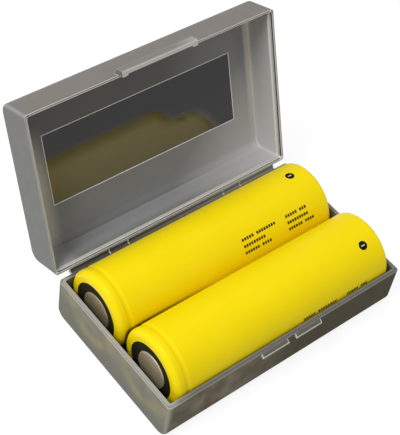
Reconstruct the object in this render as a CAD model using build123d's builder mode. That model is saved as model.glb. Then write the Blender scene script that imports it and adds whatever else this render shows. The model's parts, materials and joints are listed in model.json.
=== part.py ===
"""A hinged two-cell storage case, lid standing open, with its two cylindrical cells.

Millimetres. X runs along the case, +Y towards its hinge and +Z up. The origin is the middle of
the tray's underside. The cells lie along X, with their positive ends towards -X.
"""

import os
from math import cos, radians, sin

from build123d import *

# Cells, in their sleeves
cell_diameter = 21.4
cell_length = 70.6
front_cell_shift = 0.3  # each cell has slid a little along the tray
rear_cell_shift = -0.45

# Room that the case leaves round the cells
cell_gap = 0.4  # between the two cells
cell_side_play = 0.25  # between a cell and the long wall beside it
cell_end_play = 4.4  # at both ends together
cell_floor_play = 0.15
cell_head_play = 0.75  # under the closed lid

# Shells of the case
case_wall = 1.15
floor_thickness = 1.3
panel_thickness = 1.1
tray_height = 13.4
long_edge_radius = 3.0  # along the tray's floor and the lid's panel, where the cells are round
end_radius = 0.9  # round both ends: upright corners and short edges
bay_edge_radius = 2.4  # the long edges inside
bay_end_radius = 0.5  # the ends inside

# Rims: a low tongue on the tray stands inside a thin lip on the lid
rim_gap = 0.1
tongue_thickness = 0.5
tongue_height = 0.3
groove_depth = 0.9  # of the room inside the lip
tongue_clearance = 0.15

# Two wedge catches on the tray's front rim
catch_length = 8.6
catch_spacing = 2.6  # clear space between the two
catch_reach = 1.0
catch_slope = 0.6  # drop of the sloping top
catch_height = 1.0
catch_root = 0.25  # sunk into the wall

# Latch lip on the lid's front rim, which snaps over the catches
lip_clearance = 0.15
lip_thickness = 0.6
lip_cheek = 1.6  # solid end of the lip beside its pocket
lip_rise = 1.6  # height up the lid's wall where the lip starts
lip_shoulder = 0.3  # height of the end of its slope
hook_height = 0.9
hook_bite = 0.35  # how far the hook reaches under the catches
lip_chamfer = 0.25

# Polished window sunk in the inside of the lid's panel
window_length = 60.0
window_width = 20.2
window_depth = 0.2

# Moulded-in hinge: one thin web with two thinner steps along it
open_angle = 110.0  # how far the lid stands open
hinge_offset = 0.73  # hinge line behind the back face
hinge_drop = 0.2  # hinge line below the tray's rim
web_offset = 0.4  # the web leaves each wall this far from the hinge line
web_thickness = 0.35
web_bend = 0.45
hinge_end_gap = 4.0  # open gap at each back corner
outer_web_length = 12.5  # from an end of the web to its step
web_step_length = 6.0
web_step_thickness = 0.22

# Cell shell and sleeve
sleeve_thickness = 0.15
sleeve_ease = 0.03
sleeve_fold = 2.85  # how far the sleeve turns in over both ends
can_wall = 0.25
crimp_lip = 2.12  # how far the can is rolled in over the seal
shoulder_radius = 1.4
heel_radius = 0.6
bead_position = 3.1  # from the crimped end
bead_depth = 0.17
bead_roll = 2.2
bead_lip = 0.8  # round of the bead's two edges

# Seal and vent stack inside the crimped end
stack_ease = 0.05
gasket_wall = 0.57
gasket_lip = 0.3
gasket_reach = 0.4  # inside the crimped lip
gasket_foot = 0.4  # below the stack
washer_thickness = 0.25
washer_width = 3.05
washer_clearance = 0.2
terminal_rise = 0.15  # above the can's crimped end
terminal_edge = 0.3
cap_thickness = 0.3
cap_vents = 4
cap_vent_radius = 0.6
cap_vent_offset = 1.9  # out from the terminal's side
vent_thickness = 0.3
score_inset = 5.6  # in from the disc's rim
score_width = 0.3
score_depth = 0.12
spacer_thickness = 0.4
spacer_width = 3.1
plate_thickness = 0.3
plate_holes = 4
plate_hole_radius = 1.0
plate_hole_inset = 3.1  # in from the plate's rim

# Winding, insulators and tabs
winding_head = 5.2  # from the crimped end to the upper insulator
winding_side_play = 0.2
winding_bore = 1.8
insulator_thickness = 0.3
insulator_bore = 1.8
tab_width = 4.0
tab_thickness = 0.15
tab_inset = 5.1  # of the tabs' upright legs, in from the winding's side
tab_slot_play = 0.3
tab_foot = 2.0  # how far the negative tab runs past the axis

# Sizes that follow
bay_length = cell_length + cell_end_play
bay_width = 2 * cell_diameter + cell_gap + 2 * cell_side_play
bay_height = cell_floor_play + cell_diameter + cell_head_play
case_length = bay_length + 2 * case_wall
case_width = bay_width + 2 * case_wall
lid_rim = tray_height + rim_gap
panel_inside = floor_thickness + bay_height
lid_top = panel_inside + panel_thickness
front_face = -case_width / 2
back_face = case_width / 2
hinge_y = back_face + hinge_offset
hinge_z = tray_height - hinge_drop

can_radius = cell_diameter / 2 - sleeve_thickness - sleeve_ease
can_length = cell_length - 2 * (sleeve_thickness + sleeve_ease)
cell_height = floor_thickness + cell_floor_play + cell_diameter / 2
cell_pitch = cell_diameter + cell_gap
sleeve_bore = cell_diameter / 2 - sleeve_fold
crimp_bore = can_radius - crimp_lip
gasket_bore = crimp_bore - gasket_reach
stack_radius = can_radius - can_wall - gasket_wall - 2 * stack_ease
washer_radius = crimp_bore - stack_ease
washer_bore = washer_radius - washer_width
terminal_radius = washer_bore - washer_clearance
winding_radius = can_radius - can_wall - winding_side_play
tab_radius = winding_radius - tab_inset

os.makedirs("parts", exist_ok=True)


def save(piece, name):
    """Label a finished piece and write it."""
    piece.part.label = name
    export_step(piece.part, f"parts/{name}.step")


def block(length, width, rim, base, edge, ends):
    """A block between its rim's height and its base's, sharp at the rim and rounded elsewhere."""
    with BuildPart() as form:
        with BuildSketch(Plane.YZ.offset(-length / 2)) as profile:
            with Locations((0, (rim + base) / 2)):
                Rectangle(width, abs(rim - base))
            base_row = 0 if base < rim else -1
            fillet(profile.vertices().group_by(Axis.Y)[base_row], edge)
        extrude(amount=length)
        end_edges = form.faces().filter_by(Axis.X).edges()
        fillet([line for line in end_edges if abs(line.center().Z - rim) > ends], ends)
    return form


def rim_ring(start, height, inset):
    """A ring round the bay, from its wall out to an inset from it."""
    with BuildPart() as ring:
        with BuildSketch(Plane.XY.offset(start)):
            RectangleRounded(bay_length + 2 * inset, bay_width + 2 * inset, bay_end_radius + inset)
            RectangleRounded(bay_length, bay_width, bay_end_radius, mode=Mode.SUBTRACT)
        extrude(amount=height)
    return ring


# Tray
with BuildPart() as tray:
    add(block(case_length, case_width, tray_height, 0, long_edge_radius, end_radius).part)
    bay = block(bay_length, bay_width, tray_height, floor_thickness, bay_edge_radius, bay_end_radius)
    add(bay.part, mode=Mode.SUBTRACT)
    add(rim_ring(tray_height, tongue_height, tongue_thickness).part)
    for catch_start in (-catch_spacing / 2 - catch_length, catch_spacing / 2):
        with BuildSketch(Plane.YZ.offset(catch_start)):
            with BuildLine():
                Polyline(
                    (front_face + catch_root, tray_height),
                    (front_face, tray_height),
                    (front_face - catch_reach, tray_height - catch_slope),
                    (front_face - catch_reach, tray_height - catch_height),
                    (front_face + catch_root, tray_height - catch_height),
                    close=True,
                )
            make_face()
        extrude(amount=catch_length)
save(tray, "tray")

# Lid, modelled shut and then swung open about the hinge line
catch_span = 2 * catch_length + catch_spacing
pocket_length = catch_span + 2 * lip_clearance
lip_length = pocket_length + 2 * lip_cheek
pocket_reach = catch_reach + lip_clearance
lip_reach = pocket_reach + lip_thickness
hook_top = tray_height - catch_height - lip_clearance
lip_bottom = hook_top - hook_height
with BuildPart() as lid_shut:
    add(block(case_length, case_width, lid_rim, lid_top, long_edge_radius, end_radius).part)
    hollow = block(bay_length, bay_width, lid_rim, panel_inside, bay_edge_radius, bay_end_radius)
    add(hollow.part, mode=Mode.SUBTRACT)
    lip_room = tongue_thickness + tongue_clearance
    add(rim_ring(lid_rim, groove_depth, lip_room).part, mode=Mode.SUBTRACT)
    with BuildSketch(Plane.XY.offset(panel_inside)):
        Rectangle(window_length, window_width)
    extrude(amount=window_depth, mode=Mode.SUBTRACT)
    with BuildSketch(Plane.YZ.offset(-lip_length / 2)):
        with BuildLine():
            Polyline(
                (front_face + catch_root, lid_rim + lip_rise),
                (front_face, lid_rim + lip_rise),
                (front_face - lip_reach, lid_rim + lip_shoulder),
                (front_face - lip_reach, lip_bottom + lip_chamfer),
                (front_face - lip_reach + lip_chamfer, lip_bottom),
                (front_face - lip_clearance, lip_bottom),
                (front_face - lip_clearance, lid_rim),
                (front_face + catch_root, lid_rim),
                close=True,
            )
        make_face()
    extrude(amount=lip_length)
    with BuildSketch(Plane.YZ.offset(-pocket_length / 2)):
        with BuildLine():
            Polyline(
                (front_face, tray_height + lip_clearance),
                (front_face - pocket_reach, tray_height + lip_clearance),
                (front_face - pocket_reach, hook_top),
                (front_face - catch_reach + hook_bite, hook_top),
                (front_face - catch_reach + hook_bite, lip_bottom),
                (front_face, lip_bottom),
                close=True,
            )
        make_face()
    extrude(amount=pocket_length, mode=Mode.SUBTRACT)

hinge_line = Axis((0, hinge_y, hinge_z), (1, 0, 0))
with BuildPart() as lid:
    add(lid_shut.part.rotate(hinge_line, -open_angle))
save(lid, "lid")

# Hinge web, bent from the tray's back wall round to the lid's back wall
swing = radians(open_angle)
lid_end_y = hinge_y - hinge_offset * cos(swing) + web_offset * sin(swing)
lid_end_z = hinge_z + hinge_offset * sin(swing) + web_offset * cos(swing)
tray_end_z = hinge_z - web_offset
bend_run = (lid_end_z - tray_end_z) / sin(swing)
bend_y = lid_end_y + bend_run * cos(swing)
web_half = case_length / 2 - hinge_end_gap
centre_half = web_half - outer_web_length - web_step_length
with BuildPart() as web:
    for run_start, run_length, thickness in (
        (-web_half, outer_web_length, web_thickness),
        (-centre_half, 2 * centre_half, web_thickness),
        (web_half - outer_web_length, outer_web_length, web_thickness),
        (-web_half, 2 * web_half, web_step_thickness),
    ):
        with BuildSketch(Plane.YZ.offset(run_start)):
            with BuildLine():
                FilletPolyline(
                    (back_face, tray_end_z),
                    (bend_y, tray_end_z),
                    (lid_end_y, lid_end_z),
                    radius=web_bend,
                )
            trace(line_width=thickness)
        extrude(amount=run_length)
save(web, "hinge_web")


# Cells: every piece is set along its cell's axis, measured from the can's crimped end
def disc(base, start, thickness, radius, bore=0.0):
    """A flat disc or ring square to the cell's axis."""
    with BuildPart() as piece:
        with BuildSketch(base.offset(start)):
            Circle(radius)
            if bore > 0:
                Circle(bore, mode=Mode.SUBTRACT)
        extrude(amount=thickness)
    return piece


def along(base):
    """The half plane through the cell's axis: local x along the cell, local y outwards."""
    return Plane(origin=base.origin, x_dir=base.z_dir, z_dir=(0, -1, 0))


def can_form(base, grow):
    """The can's outside as a solid, grown evenly: round shoulder and heel, and a rolled bead."""
    with BuildPart() as form:
        with BuildSketch(base.offset(-grow)):
            Circle(can_radius + grow)
        extrude(amount=can_length + 2 * grow)
        ends = form.edges().filter_by(GeomType.CIRCLE).sort_by(Axis.X)
        fillet(ends[0], shoulder_radius + grow)
        fillet(ends[-1], heel_radius + grow)
        with BuildSketch(along(base)):
            with Locations((bead_position, can_radius + bead_roll - bead_depth)):
                Circle(bead_roll - grow)
        revolve(axis=Axis(base.origin, base.z_dir), mode=Mode.SUBTRACT)
        bead_edges = form.edges().filter_by(GeomType.CIRCLE)
        bead_x = base.origin.X + bead_position
        lips = [line for line in bead_edges if 0.1 < abs(line.center().X - bead_x) < bead_roll]
        fillet(lips, bead_lip + grow)
    return form


def make_sleeve(base):
    """Shrink sleeve that follows the can and folds over both its ends."""
    with BuildPart() as sleeve:
        add(can_form(base, sleeve_ease + sleeve_thickness).part)
        add(can_form(base, sleeve_ease).part, mode=Mode.SUBTRACT)
        for end in (-sleeve_ease - sleeve_thickness, can_length + sleeve_ease):
            with BuildSketch(base.offset(end)):
                Circle(sleeve_bore)
            extrude(amount=sleeve_thickness, mode=Mode.SUBTRACT)
    return sleeve


def make_can(base):
    """Drawn can, open inside its crimped lip."""
    with BuildPart() as can:
        add(can_form(base, 0).part)
        add(can_form(base, -can_wall).part, mode=Mode.SUBTRACT)
        with BuildSketch(base):
            Circle(crimp_bore)
        extrude(amount=can_wall, mode=Mode.SUBTRACT)
    return can


gasket_top = can_wall + stack_ease
stack_top = gasket_top + gasket_lip
cap_top = stack_top + stack_ease
vent_top = cap_top + cap_thickness + stack_ease
spacer_top = vent_top + vent_thickness + stack_ease
plate_top = spacer_top + spacer_thickness + stack_ease
stack_bottom = plate_top + plate_thickness + stack_ease


def make_gasket(base):
    """Seal that lines the crimped end and grips the rim of the vent stack."""
    with BuildPart() as gasket:
        add(can_form(base, -can_wall - stack_ease).part)
        with BuildSketch(base.offset(stack_bottom + gasket_foot)):
            Circle(can_radius)
        extrude(amount=can_length, mode=Mode.SUBTRACT)
        with BuildSketch(base):
            Circle(gasket_bore)
        extrude(amount=can_length, mode=Mode.SUBTRACT)
        with BuildSketch(base.offset(stack_top)):
            Circle(stack_radius + stack_ease)
        extrude(amount=stack_bottom - stack_top, mode=Mode.SUBTRACT)
    return gasket


def make_cap(base):
    """Positive cap: a drum that stands up through the washer, on a flange with vent holes."""
    with BuildPart() as cap:
        with BuildSketch(base.offset(-terminal_rise)):
            Circle(terminal_radius)
        extrude(amount=terminal_rise + cap_top + cap_thickness)
        fillet(cap.edges().filter_by(GeomType.CIRCLE).sort_by(Axis.X)[0], terminal_edge)
        with BuildSketch(base.offset(cap_top)):
            Circle(stack_radius)
            with PolarLocations(terminal_radius + cap_vent_offset, cap_vents):
                Circle(cap_vent_radius, mode=Mode.SUBTRACT)
        extrude(amount=cap_thickness)
        with BuildSketch(base.offset(cap_thickness - terminal_rise)):
            Circle(terminal_radius - cap_thickness)
        extrude(amount=terminal_rise + cap_top, mode=Mode.SUBTRACT)
    return cap


def make_vent_disc(base):
    """Burst disc with a ring scored into its lower side."""
    with BuildPart() as vent:
        with BuildSketch(base.offset(vent_top)):
            Circle(stack_radius)
        extrude(amount=vent_thickness)
        with BuildSketch(base.offset(vent_top + vent_thickness - score_depth)):
            Circle(stack_radius - score_inset)
            Circle(stack_radius - score_inset - score_width, mode=Mode.SUBTRACT)
        extrude(amount=score_depth, mode=Mode.SUBTRACT)
    return vent


def make_base_plate(base):
    """Perforated plate that closes the vent stack."""
    with BuildPart() as plate:
        with BuildSketch(base.offset(plate_top)):
            Circle(stack_radius)
            with PolarLocations(stack_radius - plate_hole_inset, plate_holes, start_angle=180 / plate_holes):
                Circle(plate_hole_radius, mode=Mode.SUBTRACT)
        extrude(amount=plate_thickness)
    return plate


roll_top = winding_head + insulator_thickness + stack_ease
can_floor = can_length - can_wall
foot_top = can_floor - stack_ease - tab_thickness
lower_insulator_top = foot_top - stack_ease - insulator_thickness
roll_bottom = lower_insulator_top - stack_ease


def make_insulator(base, start):
    """Disc over one end of the winding, with a slot that lets the tab through."""
    with BuildPart() as insulator:
        with BuildSketch(base.offset(start)):
            Circle(winding_radius)
            Circle(insulator_bore, mode=Mode.SUBTRACT)
            with Locations((0, tab_radius)):
                Rectangle(
                    tab_width + 2 * tab_slot_play,
                    tab_thickness + 2 * tab_slot_play,
                    mode=Mode.SUBTRACT,
                )
        extrude(amount=insulator_thickness)
    return insulator


def make_tab(base, route):
    """Flat strip folded along a route in the plane through the axis."""
    with BuildPart() as tab:
        with BuildSketch(along(base)):
            with BuildLine():
                Polyline(*route)
            trace(line_width=tab_thickness)
        extrude(amount=tab_width / 2, both=True)
    return tab


plate_weld = stack_bottom + tab_thickness / 2
floor_weld = foot_top + tab_thickness / 2
positive_route = ((roll_top, tab_radius), (plate_weld, tab_radius), (plate_weld, 0))
negative_route = ((roll_bottom, tab_radius), (floor_weld, tab_radius), (floor_weld, -tab_foot))

for place, side, shift in (("front", -1, front_cell_shift), ("rear", 1, rear_cell_shift)):
    crimped_end = (shift - can_length / 2, side * cell_pitch / 2, cell_height)
    cell_end = Plane(origin=crimped_end, x_dir=(0, 1, 0), z_dir=(1, 0, 0))
    save(make_sleeve(cell_end), f"{place}_cell_sleeve")
    save(make_can(cell_end), f"{place}_cell_can")
    washer = disc(cell_end, gasket_top - washer_thickness, washer_thickness, washer_radius, washer_bore)
    save(washer, f"{place}_cell_insulator_ring")
    save(make_cap(cell_end), f"{place}_cell_positive_cap")
    save(make_gasket(cell_end), f"{place}_cell_gasket")
    save(make_vent_disc(cell_end), f"{place}_cell_vent_disc")
    spacer = disc(cell_end, spacer_top, spacer_thickness, stack_radius, stack_radius - spacer_width)
    save(spacer, f"{place}_cell_vent_spacer")
    save(make_base_plate(cell_end), f"{place}_cell_base_plate")
    save(make_tab(cell_end, positive_route), f"{place}_cell_positive_tab")
    save(make_insulator(cell_end, winding_head), f"{place}_cell_top_insulator")
    roll = disc(cell_end, roll_top, roll_bottom - roll_top, winding_radius, winding_bore)
    save(roll, f"{place}_cell_electrode_roll")
    save(make_insulator(cell_end, lower_insulator_top), f"{place}_cell_bottom_insulator")
    save(make_tab(cell_end, negative_route), f"{place}_cell_negative_tab")
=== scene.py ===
"""Looks of a hinged two-cell storage case, lid standing open, with its two cylindrical cells."""
import json
import logging
import math
from dataclasses import dataclass, field
from enum import Enum
from typing import Callable, Sequence

import bpy
from mathutils import Matrix, Vector


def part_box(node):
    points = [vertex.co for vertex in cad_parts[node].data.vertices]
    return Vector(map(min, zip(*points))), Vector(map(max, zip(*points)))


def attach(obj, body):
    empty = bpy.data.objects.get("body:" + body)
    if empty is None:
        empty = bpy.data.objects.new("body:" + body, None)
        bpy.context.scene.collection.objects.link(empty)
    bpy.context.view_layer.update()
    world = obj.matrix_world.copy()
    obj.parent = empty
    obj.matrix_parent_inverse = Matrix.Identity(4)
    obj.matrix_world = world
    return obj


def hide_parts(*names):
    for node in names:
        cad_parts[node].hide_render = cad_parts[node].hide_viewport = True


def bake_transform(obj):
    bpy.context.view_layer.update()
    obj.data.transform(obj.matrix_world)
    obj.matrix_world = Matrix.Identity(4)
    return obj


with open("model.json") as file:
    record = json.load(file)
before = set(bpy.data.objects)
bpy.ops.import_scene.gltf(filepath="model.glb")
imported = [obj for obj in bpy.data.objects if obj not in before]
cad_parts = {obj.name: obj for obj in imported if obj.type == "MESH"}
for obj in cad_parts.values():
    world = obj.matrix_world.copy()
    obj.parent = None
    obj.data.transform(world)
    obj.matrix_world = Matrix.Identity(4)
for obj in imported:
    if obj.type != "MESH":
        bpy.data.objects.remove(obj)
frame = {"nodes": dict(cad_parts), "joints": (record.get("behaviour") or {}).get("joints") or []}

LOG = logging.getLogger("storage_case")
MM = 0.001
Colour = tuple[float, float, float]
Span = tuple[float, float]
Socket = bpy.types.NodeSocket
# Near-white tint of the painted highlights along sharp edges.
EDGE_HIGHLIGHT: Colour = (0.86, 0.845, 0.81)
CLOUD_LIMITS: Span = (0.3, 0.7)
PATCH_LIMITS: Span = (0.4, 0.68)
EDGE_START = 0.997
# Inner and outer edges of the soft rings painted where the cell ends show through the tray's left wall.
RING_INNER: Span = (5.2 * MM, 7.4 * MM)
RING_OUTER: Span = (10.8 * MM, 8.4 * MM)


class Body(str, Enum):
    """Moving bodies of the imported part."""

    TRAY = "tray"
    LID = "lid"
    FRONT_CELL = "front_cell"
    REAR_CELL = "rear_cell"


class Slot(str, Enum):
    """Material slots of the record."""

    CASE = "case"
    SLEEVE = "sleeve"


class Way(Enum):
    """Directions on the case as it stands open."""

    LEFT = (-1.0, 0.0, 0.0)
    RIGHT = (1.0, 0.0, 0.0)
    FRONT = (0.0, -1.0, 0.0)
    BACK = (0.0, 1.0, 0.0)
    UP = (0.0, 0.0, 1.0)
    RISE = (0.0, 0.34202, 0.93969)
    PANEL_OUT = (0.0, 0.93969, -0.34202)
    LOW_RIGHT = (0.7071, -0.2418, -0.6645)
    HIGH_RIGHT = (0.7071, 0.241842, 0.664455)


class Graph:
    """A material's node tree, emptied and ready for new nodes."""

    def __init__(self, name: str) -> None:
        """Make the material that the nodes belong to.

        Args:
            name: the material's name.
        """
        self.material = bpy.data.materials.new(name)
        self.material.use_nodes = True
        self.tree = self.material.node_tree
        self.tree.nodes.clear()

    def add(self, kind: str, **settings: object) -> bpy.types.Node:
        """Add a node.

        Args:
            kind: the node's type name.
            settings: attributes to set on it.

        Returns:
            The new node.
        """
        node = self.tree.nodes.new(kind)
        for key, value in settings.items():
            setattr(node, key, value)
        return node

    def join(self, source: Socket, target: Socket) -> None:
        """Link two sockets."""
        self.tree.links.new(source, target)

    def object_place(self) -> Socket:
        """The socket that gives the place on the object."""
        return self.add("ShaderNodeTexCoord").outputs["Object"]

    def noise(self, place: Socket, size: float, detail: float = 2.0) -> Socket:
        """Cloudy noise.

        Args:
            place: socket with the place to read.
            size: size of its features in metres.
            detail: number of finer layers.

        Returns:
            The factor socket.
        """
        node = self.add("ShaderNodeTexNoise")
        node.inputs["Scale"].default_value = 1.0 / size
        node.inputs["Detail"].default_value = detail
        self.join(place, node.inputs["Vector"])
        return node.outputs["Fac"]

    def spread(self, source: Socket, limits: Sequence[float]) -> Socket:
        """Map a factor to a range.

        Args:
            source: socket to map.
            limits: low and high of the source, then low and high of the result.

        Returns:
            The result socket.
        """
        node = self.add("ShaderNodeMapRange", clamp=True)
        for key, value in zip(("From Min", "From Max", "To Min", "To Max"), limits):
            node.inputs[key].default_value = value
        self.join(source, node.inputs["Value"])
        return node.outputs["Result"]

    def blend(self, amount: Socket, low: "Colour | Socket", high: Colour) -> Socket:
        """Mix two colours.

        Args:
            amount: factor socket.
            low: colour, or socket with one, where the factor is 0.
            high: colour where it is 1.

        Returns:
            The mixed colour's socket.
        """
        node = self.add("ShaderNodeMix", data_type="RGBA")
        self.join(amount, node.inputs[0])
        if isinstance(low, tuple):
            node.inputs[6].default_value = (*low, 1.0)
        else:
            self.join(low, node.inputs[6])
        node.inputs[7].default_value = (*high, 1.0)
        return node.outputs[2]

    def times(self, first: Socket, *others: Socket) -> Socket:
        """Multiply factors.

        Args:
            first: the first factor's socket.
            others: sockets of the other factors.

        Returns:
            The product's socket.
        """
        for other in others:
            node = self.add("ShaderNodeMath", operation="MULTIPLY")
            self.join(first, node.inputs[0])
            self.join(other, node.inputs[1])
            first = node.outputs[0]
        return first

    def reach(self, place: Socket, way: Way, limits: Sequence[float]) -> Socket:
        """Map the distance along a direction to a range.

        Args:
            place: socket with the place to read.
            way: the direction.
            limits: low and high distance in metres, then low and high of the result.

        Returns:
            The result socket.
        """
        node = self.add("ShaderNodeVectorMath", operation="DOT_PRODUCT")
        node.inputs[1].default_value = way.value
        self.join(place, node.inputs[0])
        return self.spread(node.outputs["Value"], limits)

    def ring(self, place: Socket, axis: Span) -> Socket:
        """A soft ring round an axis that runs to the right.

        Args:
            place: socket with the place to read.
            axis: the axis's y and z in metres.

        Returns:
            A factor socket, 1 in the ring's middle.
        """
        flat = self.add("ShaderNodeVectorMath", operation="MULTIPLY")
        flat.inputs[1].default_value = (0.0, 1.0, 1.0)
        self.join(place, flat.inputs[0])
        node = self.add("ShaderNodeVectorMath", operation="DISTANCE")
        node.inputs[1].default_value = (0.0, *axis)
        self.join(flat.outputs["Vector"], node.inputs[0])
        inner = self.spread(node.outputs["Value"], (*RING_INNER, 0.0, 1.0))
        outer = self.spread(node.outputs["Value"], (*RING_OUTER, 0.0, 1.0))
        return self.times(inner, outer)

    def openness(self, reach: float) -> Socket:
        """How open the surface is.

        Args:
            reach: distance in metres within which a neighbour closes it in.

        Returns:
            A factor socket, near 0 in a narrow crease.
        """
        node = self.add("ShaderNodeAmbientOcclusion", samples=8)
        node.inputs["Distance"].default_value = reach
        return node.outputs["AO"]

    def edges(self, width: float, full: float) -> Socket:
        """Find the sharp edges of a moulding.

        Args:
            width: reach from the edge in metres.
            full: match of plain and rounded normal at which the edge shows in full.

        Returns:
            A factor socket, 1 on an edge.
        """
        rounded = self.add("ShaderNodeBevel", samples=10)
        rounded.inputs["Radius"].default_value = width
        plain = self.add("ShaderNodeNewGeometry")
        match = self.add("ShaderNodeVectorMath", operation="DOT_PRODUCT")
        self.join(rounded.outputs["Normal"], match.inputs[0])
        self.join(plain.outputs["Normal"], match.inputs[1])
        return self.spread(match.outputs["Value"], (EDGE_START, full, 0.0, 1.0))

    def bump(self, height: Socket, depth: float, strength: float) -> Socket:
        """Bump from a height.

        Args:
            height: factor socket.
            depth: full depth in metres.
            strength: share of it that shows.

        Returns:
            The normal's socket.
        """
        node = self.add("ShaderNodeBump")
        node.inputs["Distance"].default_value = depth
        node.inputs["Strength"].default_value = strength
        self.join(height, node.inputs["Height"])
        return node.outputs["Normal"]

    def surface(self, links: dict[str, Socket], **values: object) -> bpy.types.Material:
        """Close the tree with a principled surface.

        Args:
            links: sockets for its inputs, by input name.
            values: plain values, by input name with underscores for spaces.

        Returns:
            The finished material.
        """
        shader = self.add("ShaderNodeBsdfPrincipled")
        for key, value in values.items():
            shader.inputs[key.replace("_", " ")].default_value = value
        for key, socket in links.items():
            self.join(socket, shader.inputs[key])
        out = self.add("ShaderNodeOutputMaterial")
        self.join(shader.outputs["BSDF"], out.inputs["Surface"])
        return self.material


@dataclass(frozen=True)
class Stretch:
    """A stretch along a direction: where it begins to show and where it is full, in millimetres."""

    way: Way
    begin: float
    full: float

    def factor(self, graph: Graph, place: Socket, top: float = 1.0) -> Socket:
        """How much of the stretch shows at a place, from 0 to the top."""
        return graph.reach(place, self.way, (self.begin * MM, self.full * MM, 0.0, top))


EVERYWHERE = Stretch(Way.UP, -2000.0, -1000.0)


@dataclass(frozen=True)
class Zone:
    """The part of the plastic that all its stretches share, with a tint of its own."""

    tint: Colour
    stretches: tuple[Stretch, ...]
    strength: float = 1.0
    patch: float = 0.0
    ring: Span | None = None

    def factor(self, graph: Graph, place: Socket) -> Socket:
        """Where the zone shows.

        Args:
            graph: the material's nodes.
            place: socket with the place to read.

        Returns:
            A factor socket.
        """
        first, *others = self.stretches
        factors = [first.factor(graph, place, self.strength)]
        factors += [other.factor(graph, place) for other in others]
        if self.patch:
            cloud = graph.noise(place, self.patch)
            factors.append(graph.spread(cloud, (*PATCH_LIMITS, 0.0, 1.0)))
        if self.ring:
            factors.append(graph.ring(place, self.ring))
        return graph.times(*factors)


@dataclass(frozen=True)
class FrostedPlastic:
    """Smoke-grey plastic with a fine moulded frost, tinted zones and painted highlights along its edges."""

    name: str
    shade: Colour = (0.17, 0.168, 0.16)
    light: Colour = (0.23, 0.227, 0.216)
    edge_width: float = 0.5 * MM
    edge_full: float = 0.91
    cloud: float = 9 * MM
    frost: float = 0.16 * MM
    frost_depth: float = 0.01 * MM
    frost_strength: float = 0.35
    rough: Span = (0.4, 0.5)
    bending: float = 1.49
    see_through: float = 0.2
    shine: float = 0.25
    zones: tuple[Zone, ...] = ()
    edge_highlights: tuple[Zone, ...] = (Zone(EDGE_HIGHLIGHT, (EVERYWHERE,)),)

    def make(self) -> bpy.types.Material:
        """Build the material.

        Returns:
            The plastic, with its zones and its painted edge highlights.
        """
        graph = Graph(self.name)
        place = graph.object_place()
        colour = graph.blend(graph.noise(place, self.cloud, 3.0), self.shade, self.light)
        for zone in self.zones:
            colour = graph.blend(zone.factor(graph, place), colour, zone.tint)
        # Painted highlights: the edge tint where the bevelled normal departs from the plain one.
        edges = graph.edges(self.edge_width, self.edge_full)
        for line in self.edge_highlights:
            colour = graph.blend(graph.times(edges, line.factor(graph, place)), colour, line.tint)
        rough = graph.spread(graph.noise(place, self.cloud / 3, 3.0), (*CLOUD_LIMITS, *self.rough))
        normal = graph.bump(graph.noise(place, self.frost), self.frost_depth, self.frost_strength)
        return graph.surface(
            {"Base Color": colour, "Roughness": rough, "Normal": normal},
            IOR=self.bending, Transmission_Weight=self.see_through, Specular_IOR_Level=self.shine,
        )


@dataclass(frozen=True)
class PaintedReflection:
    """A painted reflection of the cells, as a soft patch on the pane: none and full along the rise, to the
    right and across their corner.
    """

    rise: Span
    right: Span
    corner: Span


@dataclass(frozen=True)
class PolishedPane:
    """The window's polished face, an opaque dark that stands in for the dark seen through it, with painted
    reflections of the cells where given.
    """

    name: str
    dark: Colour = (0.002, 0.002, 0.0025)
    haze: Colour = (0.005, 0.005, 0.006)
    # Tint of the painted reflection of the cells.
    glow: Colour = (0.142, 0.128, 0.096)
    cloud: float = 14 * MM
    smear: float = 5 * MM
    rough: Span = (0.05, 0.1)
    bending: float = 1.46
    painted_reflections: tuple[PaintedReflection, ...] = ()

    def make(self) -> bpy.types.Material:
        """Build the material.

        Returns:
            The pane, with its painted reflections.
        """
        graph = Graph(self.name)
        place = graph.object_place()
        colour = graph.blend(graph.noise(place, self.cloud, 3.0), self.dark, self.haze)
        # Painted reflection: the cells' tint blended in over each patch.
        for patch in self.painted_reflections:
            sides = ((Way.RISE, patch.rise), (Way.RIGHT, patch.right), (Way.HIGH_RIGHT, patch.corner))
            near = graph.times(*(graph.reach(place, way, (*span, 0.0, 1.0)) for way, span in sides))
            colour = graph.blend(near, colour, self.glow)
        rough = graph.spread(graph.noise(place, self.smear, 4.0), (*CLOUD_LIMITS, *self.rough))
        return graph.surface({"Base Color": colour, "Roughness": rough}, IOR=self.bending)


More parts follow.
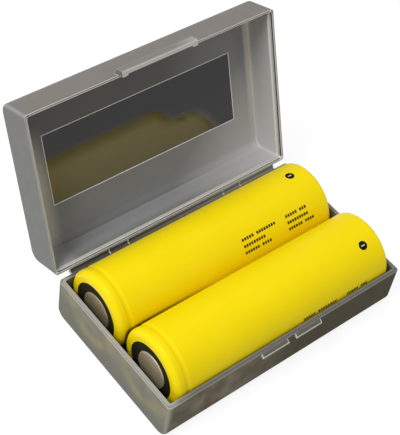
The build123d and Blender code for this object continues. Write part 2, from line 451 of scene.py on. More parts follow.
@dataclass(frozen=True)
class ShrinkSleeve:
    """Satin shrink film with a faint orange-peel, glossier where it is stretched over the shoulder, with
    painted shade in the crease between the cells.
    """

    name: str
    deep: Colour = (0.89, 0.68, 0.003)
    bright: Colour = (0.93, 0.725, 0.005)
    # Colour of the painted shade in the crease.
    crease: Colour = (0.06, 0.026, 0.002)
    crease_reach: float = 1.6 * MM
    crease_open: Span = (0.53, 0.42)
    crease_side: Span = (6 * MM, 4 * MM)
    crease_end: Span = (6 * MM, 30 * MM)
    shoulder: Span = (32.4 * MM, 33.8 * MM)
    shoulder_rough: float = 0.5
    cloud: float = 11 * MM
    smear: float = 3 * MM
    rough: Span = (0.3, 0.4)
    peel: float = 0.9 * MM
    peel_depth: float = 0.02 * MM
    peel_strength: float = 0.25
    shine: float = 0.07

    def make(self) -> bpy.types.Material:
        """Build the material.

        Returns:
            The film, with painted shade in the crease between the cells.
        """
        graph = Graph(self.name)
        place = graph.object_place()
        colour = graph.blend(graph.noise(place, self.cloud), self.deep, self.bright)
        # Painted shade: darker where a neighbour closes the film in, only between the cells and fading out
        # towards the right.
        narrow = graph.spread(graph.openness(self.crease_reach), (*self.crease_open, 0.0, 1.0))
        sides = ((Way.FRONT, self.crease_side), (Way.BACK, self.crease_side), (Way.LEFT, self.crease_end))
        near = (graph.reach(place, way, (*span, 0.0, 1.0)) for way, span in sides)
        colour = graph.blend(graph.times(narrow, *near), colour, self.crease)
        rough = graph.spread(graph.noise(place, self.smear, 3.0), (*CLOUD_LIMITS, *self.rough))
        stretched = graph.reach(place, Way.LEFT, (*self.shoulder, 1.0, self.shoulder_rough))
        rough = graph.times(rough, stretched)
        normal = graph.bump(graph.noise(place, self.peel), self.peel_depth, self.peel_strength)
        links = {"Base Color": colour, "Roughness": rough, "Normal": normal}
        return graph.surface(links, Specular_IOR_Level=self.shine)


@dataclass(frozen=True)
class PlatedMetal:
    """Plated or plain sheet metal with cloudy handling marks."""

    name: str
    dull: Colour
    clean: Colour
    rough: Span = (0.3, 0.48)
    metal: float = 1.0
    cloud: float = 2.2 * MM
    smear: float = 1.1 * MM
    grain: float = 0.25 * MM
    grain_depth: float = 0.01 * MM
    grain_strength: float = 0.2

    def make(self) -> bpy.types.Material:
        """Build the material.

        Returns:
            The metal.
        """
        graph = Graph(self.name)
        place = graph.object_place()
        colour = graph.blend(graph.noise(place, self.cloud, 4.0), self.dull, self.clean)
        rough = graph.spread(graph.noise(place, self.smear, 4.0), (*CLOUD_LIMITS, *self.rough))
        normal = graph.bump(graph.noise(place, self.grain), self.grain_depth, self.grain_strength)
        links = {"Base Color": colour, "Roughness": rough, "Normal": normal}
        return graph.surface(links, Metallic=self.metal)


@dataclass(frozen=True)
class DullStock:
    """Pressed fibre, moulded seal, film, ink or foil: a dull stock with a grain."""

    name: str
    low: Colour
    high: Colour
    grain: float
    rough: float = 0.7
    grain_depth: float = 0.02 * MM
    grain_strength: float = 0.3
    shine: float = 0.06

    def make(self) -> bpy.types.Material:
        """Build the material.

        Returns:
            The stock.
        """
        graph = Graph(self.name)
        place = graph.object_place()
        speck = graph.noise(place, self.grain, 3.0)
        colour = graph.blend(speck, self.low, self.high)
        normal = graph.bump(speck, self.grain_depth, self.grain_strength)
        links = {"Base Color": colour, "Normal": normal}
        return graph.surface(links, Roughness=self.rough, Specular_IOR_Level=self.shine)


class Finishes:
    """Every finish of the case and its cells, made once."""

    def __init__(self) -> None:
        """Make the materials."""
        self.lid = self.lid_plastic()
        self.tray = self.tray_plastic()
        self.web = self.web_plastic()
        # Painted reflections of the cells on the pane's inner face.
        painted_reflections = (
            PaintedReflection((48.4 * MM, 43.6 * MM), (14 * MM, 4 * MM), (39.2 * MM, 34 * MM)),
            PaintedReflection((43.6 * MM, 39.8 * MM), (27 * MM, 19 * MM), (44 * MM, 39.6 * MM)),
        )
        self.pane = PolishedPane("window_pane", painted_reflections=painted_reflections).make()
        self.pane_back = PolishedPane("window_face").make()
        # Near-white step round the window: a painted highlight.
        self.pane_edge_highlight = self.stock("window_edge", (0.86, 0.87, 0.89), (0.94, 0.945, 0.96), 0.6, 0.4)
        self.sleeve = ShrinkSleeve("yellow_sleeve").make()
        self.ink = self.stock("black_ink", (0.004, 0.003, 0.002), (0.01, 0.007, 0.004), 0.4, 0.5)
        self.pale_ink = self.stock("pale_ink", (0.6, 0.55, 0.42), (0.72, 0.68, 0.55), 0.4, 0.5)
        worn = {"rough": (0.42, 0.55), "metal": 0.5}
        # Lit and shaded copies of one plated terminal: the front cell's painted lighter, the rear cell's
        # painted darker.
        bright = PlatedMetal("nickel_terminal", (0.41, 0.35, 0.23), (0.54, 0.47, 0.32), **worn)
        shaded_copy = PlatedMetal("shaded_nickel_terminal", (0.26, 0.21, 0.125), (0.35, 0.295, 0.185), **worn)
        self.terminals = {Body.FRONT_CELL: bright.make(), Body.REAR_CELL: shaded_copy.make()}
        self.steel = PlatedMetal("plated_can", (0.33, 0.31, 0.28), (0.45, 0.43, 0.4)).make()
        self.sheet = PlatedMetal("plain_sheet", (0.7, 0.7, 0.69), (0.8, 0.8, 0.79)).make()
        self.fibre = self.stock("black_fibre", (0.01, 0.009, 0.005), (0.026, 0.024, 0.013), 0.35, 0.75)
        self.seal = self.stock("black_seal", (0.008, 0.008, 0.008), (0.015, 0.015, 0.015), 0.8, 0.5)
        self.film = self.stock("punched_film", (0.6, 0.6, 0.55), (0.7, 0.7, 0.65), 0.8, 0.45)
        self.foil = self.stock("wound_foil", (0.04, 0.04, 0.045), (0.07, 0.07, 0.075), 0.5, 0.5)

    @staticmethod
    def stock(name: str, low: Colour, high: Colour, grain: float, rough: float) -> bpy.types.Material:
        """Make a dull stock whose grain is given in millimetres."""
        return DullStock(name, low, high, grain * MM, rough).make()

    @staticmethod
    def lid_plastic() -> bpy.types.Material:
        """Make the lid's plastic: painted light and shade inside it and on its rims, painted edge
        highlights.

        Returns:
            The material.
        """
        # Near-white tint of the painted highlight bands along the lower and right rims.
        pale = (0.93, 0.945, 0.97)
        indoors = Stretch(Way.PANEL_OUT, 28.9, 28.5)
        inside = (Stretch(Way.RISE, 21.3, 21.5), indoors)
        within_right = Stretch(Way.RIGHT, 38.5, 38.3)
        within_left = Stretch(Way.LEFT, 38.5, 38.3)
        low_wall = Stretch(Way.RISE, 22.7, 22.5)
        latch = Stretch(Way.RISE, 67.3, 67.6)
        left_corner = Stretch(Way.LEFT, 37.7, 38.4)
        above_lip = Stretch(Way.PANEL_OUT, 18.2, 18.35)
        # Painted light and shade: the upper panel darker, as in the front wall's shadow; its right part,
        # its low left end, the hinge-side wall, the low left corner and the right wall lighter, as where
        # the light falls; a darker band above the hinge-side wall and along its rim; the front wall and the
        # left wall toned darker for the light they get.
        panel_and_walls_light_and_shade = (
            Zone((0.1, 0.102, 0.113), (Stretch(Way.RISE, 26, 54), indoors), 0.95),
            Zone((0.38, 0.39, 0.415), (Stretch(Way.RIGHT, 8, 34), *inside), 0.6),
            Zone((0.72, 0.7, 0.63), (Stretch(Way.LEFT, 29, 33.5), Stretch(Way.RISE, 58, 43), *inside), 0.9),
            Zone((0.19, 0.19, 0.195), (Stretch(Way.RISE, 25, 22.9), *inside)),
            Zone((0.34, 0.34, 0.345), (low_wall, *inside)),
            Zone((0.24, 0.24, 0.243), (Stretch(Way.PANEL_OUT, 22, 19.3), low_wall, *inside)),
            Zone((0.68, 0.68, 0.69), (Stretch(Way.LEFT, 30, 36), Stretch(Way.RISE, 31, 24), *inside), 0.8),
            Zone((0.5, 0.5, 0.515), (Stretch(Way.RIGHT, 35.5, 37.4), *inside, within_right)),
            Zone((0.72, 0.71, 0.71), (Stretch(Way.LOW_RIGHT, -12, 10), *inside, within_right), 0.78),
            Zone(
                (0.66, 0.65, 0.635),
                (Stretch(Way.RIGHT, 35.2, 36.2), Stretch(Way.PANEL_OUT, 26.9, 27.5), indoors), 0.8,
            ),
            Zone((0.208, 0.187, 0.166), (Stretch(Way.RISE, 64.5, 66),)),
            Zone((0.19, 0.19, 0.18), (Stretch(Way.LEFT, 36.5, 37.6),)),
        )
        left_rim = (
            Stretch(Way.LEFT, 37.9, 38.1), Stretch(Way.LEFT, 38.6, 38.45),
            Stretch(Way.PANEL_OUT, 18.25, 18.12),
        )
        # Masks of the painted highlight bands and of the painted shade in the rebates.
        low_line = (
            Stretch(Way.RISE, 22.46, 22.34), Stretch(Way.RISE, 21.62, 21.7),
            Stretch(Way.PANEL_OUT, 19.35, 19.2), within_right, within_left,
        )
        right_line = (
            Stretch(Way.RIGHT, 37.38, 37.48), Stretch(Way.RIGHT, 37.96, 37.86),
            Stretch(Way.PANEL_OUT, 19.7, 19.5), Stretch(Way.RISE, 67.15, 66.95),
        )
        low_rebate = (
            Stretch(Way.RISE, 22, 21.85), Stretch(Way.RISE, 21.4, 21.55),
            above_lip, Stretch(Way.PANEL_OUT, 18.9, 18.7),
        )
        right_rebate = (
            Stretch(Way.RIGHT, 37.9, 38.05), Stretch(Way.RIGHT, 38.5, 38.35),
            above_lip, Stretch(Way.PANEL_OUT, 19.1, 18.95),
        )
        # Painted highlights and shade on the rims and latch: a pale left rim; the latch a darker grey,
        # lighter at its right end and on its end face; lighter left corners; pale highlight bands along the
        # lower and right rims, with painted shade in the rebates beside them.
        rims = (
            Zone((0.5, 0.49, 0.46), left_rim, 0.85),
            Zone((0.21, 0.2, 0.185), (latch,)),
            Zone((0.45, 0.42, 0.38), (Stretch(Way.RIGHT, 5, 11), latch), 0.7),
            Zone((0.66, 0.64, 0.6), (Stretch(Way.PANEL_OUT, 16.15, 16), latch), 0.85),
            Zone((0.36, 0.345, 0.31), (left_corner, Stretch(Way.RISE, 66.2, 67)), 0.9),
            Zone((0.33, 0.32, 0.3), (left_corner, Stretch(Way.PANEL_OUT, 28.3, 29)), 0.7),
            Zone(pale, low_line),
            Zone(pale, right_line),
            Zone((0.1, 0.097, 0.088), low_rebate),
            Zone((0.07, 0.067, 0.06), right_rebate),
        )
        # Painted edge highlights, faint everywhere and full away from the outer left face and the latch's
        # top.
        edge_highlights = (
            Zone(EDGE_HIGHLIGHT, (EVERYWHERE,), 0.35),
            Zone(EDGE_HIGHLIGHT, (Stretch(Way.LEFT, 38.6, 38.2), Stretch(Way.RISE, 67.5, 67.2))),
        )
        # The bluish base tones offset the yellow light bounced from the cells.
        return FrostedPlastic(
            "frosted_lid", shade=(0.26, 0.268, 0.285), light=(0.33, 0.34, 0.36), edge_width=0.32 * MM,
            edge_full=0.955, zones=panel_and_walls_light_and_shade + rims, edge_highlights=edge_highlights,
        ).make()

    @staticmethod
    def tray_plastic() -> bpy.types.Material:
        """Make the tray's plastic: painted shade on its mottled front, the cell ends painted as seen
        through the left wall, painted light and shade on its walls and rims.

        Returns:
            The material.
        """
        front_wall = Stretch(Way.FRONT, 21.6, 22.5)
        left_wall = Stretch(Way.LEFT, 36.9, 37.8)
        rim = Stretch(Way.UP, 13.25, 13.4)
        # Colour of the cell ends painted as seen through the frosted left wall.
        cell_end = (0.36, 0.31, 0.14)
        # Painted light and shade: the front wall dark, as in shade, lighter towards its left end, with a
        # random mottle and yellowish patches painted as the cell seen through it; what stands proud of the
        # front face a mid grey; the top of the back wall dark, as in shadow; the left wall toned for its
        # light and lighter towards its top, with a random mottle; the front left corner lighter, as a
        # highlight; the front rim darker and the left rim lighter.
        zones = (
            Zone((0.078, 0.066, 0.038), (front_wall,)),
            Zone((0.15, 0.127, 0.08), (Stretch(Way.LEFT, -4, 10), front_wall), 0.85),
            Zone((0.092, 0.078, 0.05), (front_wall,), 0.4, 9 * MM),
            Zone((0.27, 0.247, 0.183), (Stretch(Way.LEFT, 0, 12), front_wall), 0.75, 6 * MM),
            Zone((0.13, 0.122, 0.1), (Stretch(Way.FRONT, 23.05, 23.3),)),
            Zone((0.05, 0.042, 0.024), (Stretch(Way.BACK, 21.8, 22.3), Stretch(Way.UP, 12.5, 13))),
            Zone((0.182, 0.181, 0.152), (left_wall,)),
            Zone((0.258, 0.245, 0.19), (Stretch(Way.UP, 3, 11), left_wall), 0.85),
            Zone(cell_end, (left_wall,), 0.48, ring=(9 * MM, 14 * MM)),
            Zone(cell_end, (left_wall,), 0.48, ring=(-13 * MM, 14 * MM)),
            Zone((0.17, 0.168, 0.145), (left_wall,), 0.55, 5 * MM),
            Zone((0.34, 0.325, 0.27), (Stretch(Way.LEFT, 37.6, 38.4), Stretch(Way.FRONT, 22, 22.75)), 0.9),
            Zone((0.15, 0.147, 0.133), (rim, Stretch(Way.FRONT, 20, 21.5)), 0.9),
            Zone((0.28, 0.272, 0.245), (rim, Stretch(Way.LEFT, 35, 36.8)), 0.9),
        )
        # Painted edge highlights: faint everywhere, stronger towards the left, near full on what stands
        # proud of the front face.
        edge_highlights = (
            Zone(EDGE_HIGHLIGHT, (EVERYWHERE,), 0.12),
            Zone(EDGE_HIGHLIGHT, (Stretch(Way.LEFT, 30, 37),), 0.28),
            Zone(EDGE_HIGHLIGHT, (Stretch(Way.FRONT, 23.02, 23.2),), 0.95),
        )
        return FrostedPlastic("frosted_tray", see_through=0.0, shine=0.02, zones=zones, edge_highlights=edge_highlights).make()

    @staticmethod
    def web_plastic() -> bpy.types.Material:
        """Make the web's plastic: dark tones painted as the shade seen through the thin web, lighter
        towards the right, with a painted highlight at each end and each step.

        Returns:
            The material.
        """
        # Painted highlight bands at each end and each step.
        steps = tuple(
            Zone(
                (0.7, 0.69, 0.66),
                (Stretch(Way.RIGHT, at - 0.22, at - 0.1), Stretch(Way.RIGHT, at + 0.22, at + 0.1)),
            )
            for at in (-34.5, -22.15, -16.15, 16.15, 22.15, 34.5)
        )
        # Painted light: lighter towards the right.
        lighter = Zone((0.24, 0.24, 0.22), (Stretch(Way.RIGHT, -22, 26),))
        return FrostedPlastic(
            "frosted_web", shade=(0.06, 0.056, 0.046), light=(0.1, 0.095, 0.08), edge_width=0.12 * MM,
            shine=0.1, zones=(lighter, *steps),
        ).make()


class Bench:
    """Moves on the bench with Blender's own operators."""

    @staticmethod
    def clear() -> None:
        """Deselect everything, in object mode."""
        if bpy.context.object and bpy.context.object.mode != "OBJECT":
            bpy.ops.object.mode_set(mode="OBJECT")
        bpy.ops.object.select_all(action="DESELECT")

    @staticmethod
    def keep(name: str) -> bpy.types.Object:
        """Name the object that was just added.

        Args:
            name: name of the object and its mesh.

        Returns:
            The object.
        """
        made = bpy.context.object
        made.name = name
        made.data.name = name
        return made

    @staticmethod
    def hold(*objects: bpy.types.Object) -> None:
        """Select these objects alone, the first one active.

        Args:
            objects: the objects.
        """
        Bench.clear()
        for item in objects:
            item.select_set(True)
        bpy.context.view_layer.objects.active = objects[0]

    @staticmethod
    def pick_edges(item: bpy.types.Object, wanted: Callable[[Vector], bool]) -> None:
        """Select an object's edges by their middles, and leave it in edit mode.

        Args:
            item: the mesh object.
            wanted: tells from an edge's middle whether it is wanted.
        """
        bpy.ops.object.mode_set(mode="EDIT")
        bpy.ops.mesh.select_mode(type="EDGE")
        bpy.ops.mesh.select_all(action="DESELECT")
        bpy.ops.object.mode_set(mode="OBJECT")
        points = item.data.vertices
        for edge in item.data.edges:
            first, second = edge.vertices
            edge.select = wanted((points[first].co + points[second].co) / 2)
        bpy.ops.object.mode_set(mode="EDIT")

    @staticmethod
    def finish_with(item: bpy.types.Object, kind: str, **settings: object) -> None:
        """Add a modifier and apply it.

        Args:
            item: the mesh object.
            kind: the modifier's type name.
            settings: its settings.
        """
        Bench.hold(item)
        step = item.modifiers.new(kind.lower(), kind)
        for key, value in settings.items():
            setattr(step, key, value)
        bpy.ops.object.modifier_apply(modifier=step.name)

    @staticmethod
    def settle(item: bpy.types.Object, place: Matrix) -> None:
        """Put an object in place and move that place into its mesh.

        Args:
            item: the object.
            place: where it goes.
        """
        Bench.hold(item)
        item.matrix_world = place
        bpy.ops.object.transform_apply(location=True, rotation=True, scale=True)

    @staticmethod
    def shape_faces() -> None:
        """Enter edit mode with everything selected."""
        bpy.ops.object.mode_set(mode="EDIT")
        bpy.ops.mesh.select_all(action="SELECT")

    @staticmethod
    def plane(name: str) -> bpy.types.Object:
        """Add a unit square.

        Args:
            name: name of the new object.

        Returns:
            The square's object.
        """
        Bench.clear()
        bpy.ops.mesh.primitive_plane_add(size=1.0)
        return Bench.keep(name)

    @staticmethod
    def round_edges(item: bpy.types.Object, width: float) -> None:
        """Round an object's sharp edges and shade it smooth."""
        Bench.finish_with(item, "BEVEL", width=width, segments=2, limit_method="ANGLE")
        Bench.smooth(item)

    @staticmethod
    def smooth(item: bpy.types.Object, angle: float = 35.0) -> None:
        """Shade smooth except across sharp corners."""
        Bench.hold(item)
        bpy.ops.object.shade_smooth_by_angle(angle=math.radians(angle))

    @staticmethod
    def dress(item: bpy.types.Object, finish: bpy.types.Material) -> None:
        """Give an object one finish."""
        item.data.materials.clear()
        item.data.materials.append(finish)


@dataclass
class HingeLine:
    """The line that the lid turns about, and how far it stands open."""

    y: float
    z: float
    swing: float = math.radians(110.0)

    @classmethod
    def of_part(cls) -> "HingeLine":
        """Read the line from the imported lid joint."""
        joint = next(item for item in frame["joints"] if item["name"] == "lid_hinge")
        return cls(joint["pos_m"][1], joint["pos_m"][2])

    def opened(self, place: Matrix) -> Matrix:
        """Turn a place on the shut lid to where it is on the open one."""
        pivot = Matrix.Translation((0.0, self.y, self.z))
        return pivot @ Matrix.Rotation(-self.swing, 4, "X") @ pivot.inverted() @ place


@dataclass
class CaseShell:
    """Tray and lid as moulded; their solids carry the shape."""

    finishes: Finishes

    def dress(self) -> None:
        """Give both shells their finish."""
        for name, finish in (("tray", self.finishes.tray), ("lid", self.finishes.lid)):
            Bench.dress(frame["nodes"][name], finish)
            LOG.info("dressed %s", name)


@dataclass
class HingeWeb:
    """The thin web that bends from the tray's back wall to the lid's, with two thinner steps."""

    line: HingeLine
    finishes: Finishes
    back_face: float = 23.0 * MM
    offset: float = 0.4 * MM
    reach: float = 0.73 * MM
    thickness: float = 0.35 * MM
    step_thickness: float = 0.22 * MM
    outer_length: float = 12.5 * MM
    step_length: float = 6.0 * MM
    step_slope: float = 0.05 * MM
    bend: float = 0.45 * MM
    edge_round: float = 0.04 * MM
    near: float = 0.001 * MM
    arc_steps: int = 8
    leg_steps: int = 4
    node: str = "hinge_web"

    def profile(self) -> list[Vector]:
        """Lay out the web's middle.

        Returns:
            Points from the tray to the lid.
        """
        turn = self.line.swing
        start = Vector((0.0, self.back_face, self.line.z - self.offset))
        end_y = self.line.y - self.reach * math.cos(turn) + self.offset * math.sin(turn)
        end_z = self.line.z + self.reach * math.sin(turn) + self.offset * math.cos(turn)
        end = Vector((0.0, end_y, end_z))
        run = (end.z - start.z) / math.sin(turn)
        corner = Vector((0.0, end.y + run * math.cos(turn), start.z))
        rise = (end - corner).normalized()
        cut = self.bend * math.tan((math.pi - turn) / 2)
        first = corner + Vector((0.0, -cut, 0.0))
        centre = first + Vector((0.0, 0.0, self.bend))
        points = [start.lerp(first, step / self.leg_steps) for step in range(self.leg_steps)]
        sweep = math.pi - turn
        for step in range(self.arc_steps + 1):
            angle = sweep * step / self.arc_steps
            points.append(centre + Vector((0.0, math.sin(angle), -math.cos(angle))) * self.bend)
        leave = corner + rise * cut
        points += [leave.lerp(end, step / self.leg_steps) for step in range(1, self.leg_steps + 1)]
        return points

    def build(self) -> bpy.types.Object:
        """Extrude the web along its profile, thicken it and thin its steps.

        Returns:
            The web's object.
        """
        points = self.profile()
        low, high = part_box(self.node)
        web = Bench.plane("hinge_web_bent")
        scale = Matrix.Diagonal((high.x - low.x, points[1].y - points[0].y, 1.0, 1.0))
        Bench.settle(web, Matrix.Translation((points[0] + points[1]) / 2) @ scale)
        for before, after in zip(points[1:], points[2:]):
            Bench.pick_edges(web, lambda at, spot=before: (at - spot).length < self.near)
            bpy.ops.mesh.extrude_region_move(TRANSFORM_OT_translate={"value": after - before})
            bpy.ops.object.mode_set(mode="OBJECT")
        self.thicken(web, high.x)
        Bench.round_edges(web, self.edge_round)
        return web

    def thicken(self, web: bpy.types.Object, half: float) -> None:
        """Give the strip its thickness, less of it along both steps.

        Args:
            web: the strip.
            half: half of its length.
        """
        outer = half - self.outer_length
        inner = outer - self.step_length
        Bench.hold(web)
        bpy.ops.object.mode_set(mode="EDIT")
        for at in (inner, inner + self.step_slope, outer - self.step_slope, outer):
            for side in (-1.0, 1.0):
                bpy.ops.mesh.select_all(action="SELECT")
                bpy.ops.mesh.bisect(plane_co=(side * at, 0.0, 0.0), plane_no=(1.0, 0.0, 0.0))
        bpy.ops.object.mode_set(mode="OBJECT")
        group = web.vertex_groups.new(name="thickness")
        share = self.step_thickness / self.thickness
        for point in web.data.vertices:
            thin = inner + self.step_slope / 2 < abs(point.co.x) < outer - self.step_slope / 2
            group.add([point.index], share if thin else 1.0, "REPLACE")
        Bench.finish_with(
            web, "SOLIDIFY", thickness=self.thickness, offset=0.0, vertex_group="thickness",
            use_even_offset=True,
        )
        web.vertex_groups.clear()

    def dress(self, web: bpy.types.Object) -> None:
        """Finish the web, move its place into its mesh and hide the imported web.

        Args:
            web: the web.
        """
        points = self.profile()
        Bench.dress(web, self.finishes.web)
        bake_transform(web)
        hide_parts(self.node)
        LOG.info("made %s", web.name)


@dataclass
class LidWindow:
    """Pane polished on both sides of the lid's panel, sunk inside, with the fine step round it."""

    line: HingeLine
    finishes: Finishes
    length: float = 60.0 * MM
    width: float = 20.2 * MM
    panel_inside: float = 23.6 * MM
    recess: float = 0.2 * MM
    lid_top: float = 24.7 * MM
    proud: float = 0.02 * MM
    pane_thickness: float = 0.1 * MM
    pane_border: float = 0.15 * MM
    pane_round: float = 0.02 * MM
    pane_seat: float = 0.01 * MM
    edge_width: float = 0.2 * MM
    edge_rise: float = 0.07 * MM
    edge_round: float = 0.025 * MM
    edge_seat: float = 0.005 * MM

    def build(self) -> list[bpy.types.Object]:
        """Make the pane's two faces and its edge.

        Returns:
            Inner face, outer face and edge.
        """
        inner = self.panel_inside + self.recess - self.pane_thickness / 2 - self.pane_seat
        outer = self.lid_top + self.proud - self.pane_thickness / 2
        return [self.pane("window_pane", inner), self.pane("window_face", outer), self.edge()]

    def pane(self, name: str, depth: float) -> bpy.types.Object:
        """Make a polished face.

        Args:
            name: the face's name.
            depth: height of its middle on the shut lid.

        Returns:
            The face's object.
        """
        pane = Bench.plane(name)
        Bench.settle(pane, Matrix.Diagonal((self.length, self.width, 1.0, 1.0)))
        Bench.shape_faces()
        bpy.ops.mesh.inset(thickness=self.pane_border)
        bpy.ops.object.mode_set(mode="OBJECT")
        Bench.finish_with(pane, "SOLIDIFY", thickness=self.pane_thickness, offset=0.0)
        Bench.round_edges(pane, self.pane_round)
        Bench.settle(pane, self.line.opened(Matrix.Translation((0.0, 0.0, depth))))
        return pane

    def edge(self) -> bpy.types.Object:
        """Make the step round the pane, which is finished near white as a painted highlight.

        Returns:
            The edge's object.
        """
        edge = Bench.plane("window_edge")
        margin = 2 * self.edge_width
        Bench.settle(edge, Matrix.Diagonal((self.length + margin, self.width + margin, 1.0, 1.0)))
        Bench.shape_faces()
        bpy.ops.mesh.inset(thickness=self.edge_width)
        bpy.ops.mesh.delete(type="FACE")
        bpy.ops.object.mode_set(mode="OBJECT")
        Bench.finish_with(edge, "SOLIDIFY", thickness=self.edge_rise, offset=0.0)
        Bench.round_edges(edge, self.edge_round)
        depth = self.panel_inside - self.edge_rise / 2 + self.edge_seat
        Bench.settle(edge, self.line.opened(Matrix.Translation((0.0, 0.0, depth))))
        return edge

    def dress(self, parts: list[bpy.types.Object]) -> None:
        """Finish the faces and the edge, and let them ride on the lid.

        Args:
            parts: inner face, outer face and edge.
        """
        looks = (self.finishes.pane, self.finishes.pane_back, self.finishes.pane_edge_highlight)
        for part, finish in zip(parts, looks):
            Bench.dress(part, finish)
            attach(part, Body.LID.value)
            LOG.info("made %s", part.name)


@dataclass
class Cell:
    """One cell: its solids' finishes, its polarity mark and its rows of plain print."""

    body: Body
    finishes: Finishes
    mark_angle: float
    print_angle: float
    radius: float = 10.7 * MM
    mark_from_end: float = 5.85 * MM
    mark_radius: float = 1.27 * MM
    mark_points: int = 40
    mark_rings: int = 4
    mark_ring_share: float = 0.2
    mark_lift: float = 0.012 * MM
    bar: Span = (1.15 * MM, 0.3 * MM)
    bar_cuts: int = 5
    bar_lift: float = 0.024 * MM
    hover: float = 0.05 * MM
    ink: float = 0.01 * MM
    print_from_end: Span = (30.1 * MM, 15.0 * MM)
    print_lift: float = 0.012 * MM
    print_ink: float = 0.012 * MM
    row_turn: float = 9.8
    glyph: Span = (0.58 * MM, 0.8 * MM)
    glyph_corner: float = 0.12 * MM
    pitch: float = 0.83 * MM
    blocks: tuple[tuple[tuple[int, ...], ...], ...] = field(
        default=(((5, 8), (9,), (6, 4)), ((5, 3), (9,), (6, 4)))
    )

    def place(self, from_end: float, angle: float, lift: float) -> Matrix:
        """A place on the sleeve, its local z outwards and its x along the cell.

        Args:
            from_end: distance from the negative end.
            angle: turn from the top towards the hinge, in degrees.
            lift: height above the sleeve.

        Returns:
            The place's matrix.
        """
        low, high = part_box(self.body.value + "_sleeve")
        axis = Matrix.Translation((high.x - from_end, (low.y + high.y) / 2, (low.z + high.z) / 2))
        turn = Matrix.Rotation(-math.radians(angle), 4, "X")
        return axis @ turn @ Matrix.Translation((0.0, 0.0, self.radius + lift))

    def build(self) -> dict[str, bpy.types.Object]:
        """Make the mark, its bar and the print.

        Returns:
            The pieces by name.
        """
        return {"mark": self.mark(), "bar": self.minus(), "print": self.print_rows()}

    def lay(self, item: bpy.types.Object, size: Matrix, lift: float) -> None:
        """Lay a flat piece on the round sleeve where the mark goes, and thicken it.

        Args:
            item: the piece, flat at the origin.
            size: its scale.
            lift: height above the sleeve.
        """
        Bench.settle(item, self.place(self.mark_from_end, self.mark_angle, self.hover) @ size)
        Bench.finish_with(
            item, "SHRINKWRAP", target=frame["nodes"][self.body.value + "_sleeve"], offset=lift,
            wrap_method="NEAREST_SURFACEPOINT", wrap_mode="OUTSIDE_SURFACE",
        )
        Bench.finish_with(item, "SOLIDIFY", thickness=self.ink, offset=-1.0)
        Bench.smooth(item)

    def mark(self) -> bpy.types.Object:
        """Make the round mark.

        Returns:
            The mark's object.
        """
        Bench.clear()
        bpy.ops.mesh.primitive_circle_add(
            vertices=self.mark_points, radius=self.mark_radius, fill_type="NGON"
        )
        mark = Bench.keep(self.body.value + "_mark")
        Bench.shape_faces()
        for _ in range(self.mark_rings):
            bpy.ops.mesh.inset(thickness=self.mark_radius * self.mark_ring_share)
        bpy.ops.mesh.poke()
        bpy.ops.object.mode_set(mode="OBJECT")
        self.lay(mark, Matrix.Identity(4), self.mark_lift)
        return mark

    def minus(self) -> bpy.types.Object:
        """Make the bar on the mark.

        Returns:
            The bar's object.
        """
        bar = Bench.plane(self.body.value + "_mark_bar")
        Bench.shape_faces()
        bpy.ops.mesh.subdivide(number_cuts=self.bar_cuts)
        bpy.ops.object.mode_set(mode="OBJECT")
        self.lay(bar, Matrix.Diagonal((*self.bar, 1.0, 1.0)), self.bar_lift)
        return bar

    def print_rows(self) -> bpy.types.Object:
        """Make the rows of plain print as small inked tiles.

        Returns:
            All the tiles as one object.
        """
        tile = Bench.plane(self.body.value + "_print")
        Bench.settle(tile, Matrix.Diagonal((*self.glyph, 1.0, 1.0)))
        Bench.shape_faces()
        bpy.ops.mesh.bevel(offset=self.glyph_corner, segments=2, affect="VERTICES")
        bpy.ops.object.mode_set(mode="OBJECT")
        Bench.finish_with(tile, "SOLIDIFY", thickness=self.print_ink, offset=0.0)
        spots = self.tile_places()
        copies = [tile]
        for _ in spots[1:]:
            Bench.hold(tile)
            bpy.ops.object.duplicate()
            copies.append(bpy.context.object)
        for copy, spot in zip(copies, spots):
            copy.matrix_world = spot
        Bench.hold(*copies)
        bpy.ops.object.transform_apply(location=True, rotation=True, scale=True)
        Bench.hold(*copies)
        bpy.ops.object.join()
        return tile

    def tile_places(self) -> list[Matrix]:
        """Lay out the tiles of the print.

        Returns:
            Each tile's place, row by row.
        """
        spots = []
        for start, rows in zip(self.print_from_end, self.blocks):
            for row, words in enumerate(rows):
                angle = self.print_angle - row * self.row_turn
                column = 0
                for letters in words:
                    for letter in range(letters):
                        from_end = start - (column + letter + 0.5) * self.pitch
                        spots.append(self.place(from_end, angle, self.print_lift))
                    column += letters + 1
        return spots

    def dress(self, parts: dict[str, bpy.types.Object]) -> None:
        """Finish the solids of the cell and the pieces on its sleeve.

        Args:
            parts: the pieces by name.
        """
        finishes = self.finishes
        looks = {
            "sleeve": finishes.sleeve,
            "can": finishes.steel,
            "insulator_ring": finishes.fibre,
            "positive_cap": finishes.terminals[self.body],
            "gasket": finishes.seal,
            "vent_disc": finishes.sheet,
            "vent_spacer": finishes.seal,
            "base_plate": finishes.sheet,
            "positive_tab": finishes.sheet,
            "top_insulator": finishes.film,
            "electrode_roll": finishes.foil,
            "bottom_insulator": finishes.film,
            "negative_tab": finishes.steel,
        }
        for piece, finish in looks.items():
            Bench.dress(frame["nodes"][f"{self.body.value}_{piece}"], finish)
        inks = {"mark": finishes.ink, "bar": finishes.pale_ink, "print": finishes.ink}
        for key, part in parts.items():
            Bench.dress(part, inks[key])
            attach(part, self.body.value)
            LOG.info("made %s", part.name)


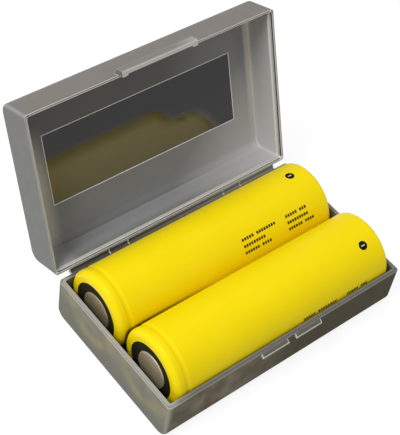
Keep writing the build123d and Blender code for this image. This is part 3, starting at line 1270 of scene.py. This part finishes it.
@dataclass
class Studio:
    """Pale floor, soft light from the left and above, and the camera."""

    eye: Vector = field(default_factory=lambda: Vector((-152.34, -128.82, 257.456)) * MM)
    right: Vector = field(default_factory=lambda: Vector((0.77615, -0.61846, 0.12285)))
    down: Vector = field(default_factory=lambda: Vector((-0.40644, -0.63966, -0.65242)))
    ahead: Vector = field(default_factory=lambda: Vector((0.48208, 0.45644, -0.74784)))
    lens: float = 100.67
    sensor: float = 36.0
    clip: Span = (0.01, 20.0)
    key_place: Vector = field(default_factory=lambda: Vector((-0.52, 0.03, 0.74)))
    key_size: float = 0.35
    key_power: float = 5.05
    back_place: Vector = field(default_factory=lambda: Vector((-0.1, 0.42, 0.8)))
    back_power: float = 1.2
    aim: Vector = field(default_factory=lambda: Vector((0.0, 0.0, 0.02)))
    fill: float = 0.45
    floor_size: float = 6.0
    floor_drop: float = 0.02 * MM
    floor_lit: float = 0.7
    floor_shade: float = 0.2
    floor_glow: float = 0.86

    def camera(self) -> None:
        """Set the camera at the photograph's view."""
        data = bpy.data.cameras.new("view")
        data.lens = self.lens
        data.sensor_width = self.sensor
        data.clip_start, data.clip_end = self.clip
        eye = bpy.data.objects.new("view", data)
        turn = Matrix((self.right, -self.down, -self.ahead)).transposed().to_4x4()
        eye.matrix_world = Matrix.Translation(self.eye) @ turn
        bpy.context.scene.collection.objects.link(eye)
        bpy.context.scene.camera = eye

    def lamp(self, name: str, away: Vector, size: float, power: float) -> None:
        """Add a soft lamp that faces the case.

        Args:
            name: the lamp's name.
            away: its place.
            size: side of its square.
            power: its power in watts.
        """
        data = bpy.data.lights.new(name, "AREA")
        data.size = size
        data.energy = power
        lamp = bpy.data.objects.new(name, data)
        look = (self.aim - away).to_track_quat("-Z", "Y").to_matrix().to_4x4()
        lamp.matrix_world = Matrix.Translation(away) @ look
        bpy.context.scene.collection.objects.link(lamp)

    def lights(self) -> None:
        """Set the lamps and the room's even light."""
        self.lamp("key", self.key_place, self.key_size, self.key_power)
        self.lamp("back", self.back_place, self.key_size, self.back_power)
        world = bpy.data.worlds.new("room")
        bpy.context.scene.world = world
        world.use_nodes = True
        nodes, links = world.node_tree.nodes, world.node_tree.links
        nodes.clear()
        seen = self.seen_rays(nodes, links)
        plain = nodes.new("ShaderNodeBackground")
        plain.inputs["Strength"].default_value = self.fill
        white = nodes.new("ShaderNodeBackground")
        for light in (plain, white):
            light.inputs["Color"].default_value = (1.0, 1.0, 1.0, 1.0)
        mix = nodes.new("ShaderNodeMixShader")
        out = nodes.new("ShaderNodeOutputWorld")
        links.new(seen, mix.inputs[0])
        links.new(plain.outputs[0], mix.inputs[1])
        links.new(white.outputs[0], mix.inputs[2])
        links.new(mix.outputs[0], out.inputs["Surface"])

    @staticmethod
    def seen_rays(nodes: bpy.types.Nodes, links: bpy.types.NodeLinks) -> Socket:
        """The rays that see the background: camera, glossy and transmission ones.

        Args:
            nodes: the tree's nodes.
            links: the tree's links.

        Returns:
            A factor socket.
        """
        path = nodes.new("ShaderNodeLightPath")
        first = nodes.new("ShaderNodeMath")
        first.operation = "MAXIMUM"
        second = nodes.new("ShaderNodeMath")
        second.operation = "MAXIMUM"
        links.new(path.outputs["Is Camera Ray"], first.inputs[0])
        links.new(path.outputs["Is Glossy Ray"], first.inputs[1])
        links.new(first.outputs[0], second.inputs[0])
        links.new(path.outputs["Is Transmission Ray"], second.inputs[1])
        return second.outputs[0]

    def floor(self) -> None:
        """Lay a pale floor that shows white and keeps the case's shadow."""
        Bench.clear()
        bpy.ops.mesh.primitive_plane_add(size=self.floor_size)
        floor = Bench.keep("floor")
        Bench.settle(floor, Matrix.Translation((0.0, 0.0, -self.floor_drop)))
        graph = Graph("pale_floor")
        seen = self.seen_rays(graph.tree.nodes, graph.tree.links)
        plain = graph.add("ShaderNodeBsdfDiffuse")
        plain.inputs["Color"].default_value = (*[self.floor_lit] * 3, 1.0)
        shade = graph.add("ShaderNodeBsdfDiffuse")
        shade.inputs["Color"].default_value = (*[self.floor_shade] * 3, 1.0)
        glow = graph.add("ShaderNodeEmission")
        glow.inputs["Strength"].default_value = self.floor_glow
        both = graph.add("ShaderNodeAddShader")
        graph.join(shade.outputs[0], both.inputs[0])
        graph.join(glow.outputs[0], both.inputs[1])
        mix = graph.add("ShaderNodeMixShader")
        graph.join(seen, mix.inputs[0])
        graph.join(plain.outputs[0], mix.inputs[1])
        graph.join(both.outputs[0], mix.inputs[2])
        out = graph.add("ShaderNodeOutputMaterial")
        graph.join(mix.outputs[0], out.inputs["Surface"])
        Bench.dress(floor, graph.material)

    def build(self) -> None:
        """Set up camera, lights, floor and view."""
        self.camera()
        self.lights()
        self.floor()
        bpy.context.scene.view_settings.view_transform = "Standard"
        LOG.info("set the studio")


def main() -> None:
    """Build and dress every piece in order."""
    logging.basicConfig(level=logging.INFO, format="%(message)s")
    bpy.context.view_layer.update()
    finishes = Finishes()
    line = HingeLine.of_part()
    CaseShell(finishes).dress()
    web = HingeWeb(line, finishes)
    web.dress(web.build())
    window = LidWindow(line, finishes)
    window.dress(window.build())
    for cell in (
        Cell(Body.FRONT_CELL, finishes, mark_angle=-25.5, print_angle=-79.5),
        Cell(Body.REAR_CELL, finishes, mark_angle=11.5, print_angle=-41.0),
    ):
        cell.dress(cell.build())
    Studio().build()
    Bench.clear()


if __name__ == "__main__":
    main()
